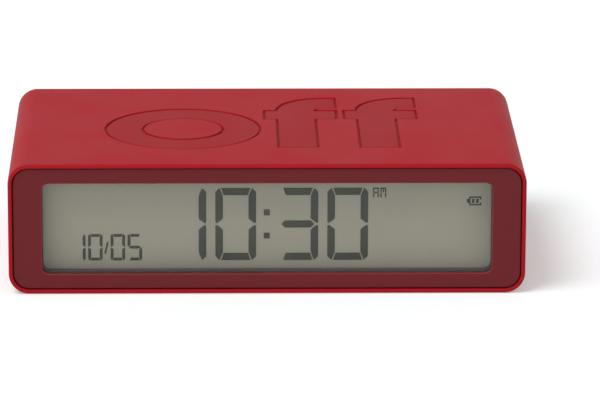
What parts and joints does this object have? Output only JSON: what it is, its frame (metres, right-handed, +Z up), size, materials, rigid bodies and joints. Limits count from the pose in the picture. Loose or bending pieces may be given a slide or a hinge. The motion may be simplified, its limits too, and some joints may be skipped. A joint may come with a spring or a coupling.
{
  "type": "digital alarm clock",
  "caption": "Low soft-touch digital alarm clock: open-ended sleeve round a display in front and a rear panel with buttons and a battery cover; turning it over switches the alarm.",
  "frame": {"origin": "middle of the underside, on the surface the clock stands on", "axes": "+X to the right of the display, +Y to the back, +Z up; the display faces -Y"},
  "size_m": [0.105, 0.062, 0.0272],
  "materials": {
    "case_red": "soft-touch coat",
    "insert_red": "fine satin moulding",
    "lens_clear": "clear, polished",
    "frame_grey": "matt moulding",
    "display_glass": "clear",
    "segment_ink": "flat dark",
    "display_back": "grey reflective film behind glass",
    "guide_clear": "clear, polished",
    "sheet_white": "matt white film",
    "lamp_resin": "cast resin",
    "strip_rubber": "silicone",
    "board_green": "solder mask",
    "screw_steel": "zinc plated",
    "chip_resin": "black resin",
    "can_steel": "drawn can",
    "capacitor_sleeve": "shrunk sleeve",
    "tilt_brass": "drawn",
    "ball_steel": "polished",
    "buzzer_black": "matt moulding",
    "disc_brass": "rolled",
    "ribbon_film": "laminated film",
    "foil_copper": "rolled copper",
    "spring_steel": "nickel plated wire",
    "contact_plate": "nickel plated strip",
    "cell_jacket": "printed film over steel",
    "lead_sleeve": "wire insulation",
    "switch_black": "matt moulding",
    "button_red": "satin moulding",
    "plunger_white": "satin moulding"
  },
  "bodies": {
    "clock": {"outer_sleeve": "case_red", "front_bezel": "insert_red", "display_lens": "lens_clear", "display_frame": "frame_grey", "lcd_front_glass": "display_glass", "lcd_segments": "segment_ink", "lcd_rear_glass": "display_back", "light_guide": "guide_clear", "reflector_sheet": "sheet_white", "backlight_lamps": "lamp_resin", "contact_strip": "strip_rubber", "display_board": "board_green", "display_screws": "screw_steel", "chassis_tray": "frame_grey", "main_board": "board_green", "main_board_screws": "screw_steel", "clock_chip": "chip_resin", "quartz_crystal": "can_steel", "capacitors": "capacitor_sleeve", "tilt_cage": "tilt_brass", "buzzer_case": "buzzer_black", "buzzer_disc": "disc_brass", "display_ribbon": "ribbon_film", "button_ribbon": "ribbon_film", "touch_foil_top": "foil_copper", "touch_foil_bottom": "foil_copper", "touch_springs": "spring_steel", "rear_panel": "insert_red", "rear_panel_screws": "screw_steel", "battery_upper": "cell_jacket", "battery_lower": "cell_jacket", "bridge_contact": "contact_plate", "positive_contact": "contact_plate", "negative_contact": "contact_plate", "contact_springs": "spring_steel", "battery_leads": "lead_sleeve", "button_board": "board_green", "button_board_screws": "screw_steel", "push_switches": "switch_black"},
    "cover": {"battery_cover": "insert_red"},
    "ball": {"tilt_ball": "ball_steel"},
    "time_key": {"time_button": "button_red", "time_plunger": "plunger_white"},
    "alarm_key": {"alarm_button": "button_red", "alarm_plunger": "plunger_white"},
    "plus_key": {"plus_button": "button_red", "plus_plunger": "plunger_white"},
    "minus_key": {"minus_button": "button_red", "minus_plunger": "plunger_white"}
  },
  "joints": [
    {"name": "cover_hinge", "type": "hinge", "parent": "clock", "child": "cover", "pos_m": [-0.0483, 0.0295, 0.0136], "axis": [0, 0, 1], "range_deg": [0, 95]},
    {"name": "ball_roll", "type": "slide", "parent": "clock", "child": "ball", "axis": [0, 0, 1], "range_m": [0, 0.0034]},
    {"name": "time_press", "type": "slide", "parent": "clock", "child": "time_key", "axis": [0, -1, 0], "range_m": [0, 0.0005], "stiffness_N_per_m": 500},
    {"name": "alarm_press", "type": "slide", "parent": "clock", "child": "alarm_key", "axis": [0, -1, 0], "range_m": [0, 0.0005], "stiffness_N_per_m": 500},
    {"name": "plus_press", "type": "slide", "parent": "clock", "child": "plus_key", "axis": [0, -1, 0], "range_m": [0, 0.0005], "stiffness_N_per_m": 500},
    {"name": "minus_press", "type": "slide", "parent": "clock", "child": "minus_key", "axis": [0, -1, 0], "range_m": [0, 0.0005], "stiffness_N_per_m": 500}
  ]
}
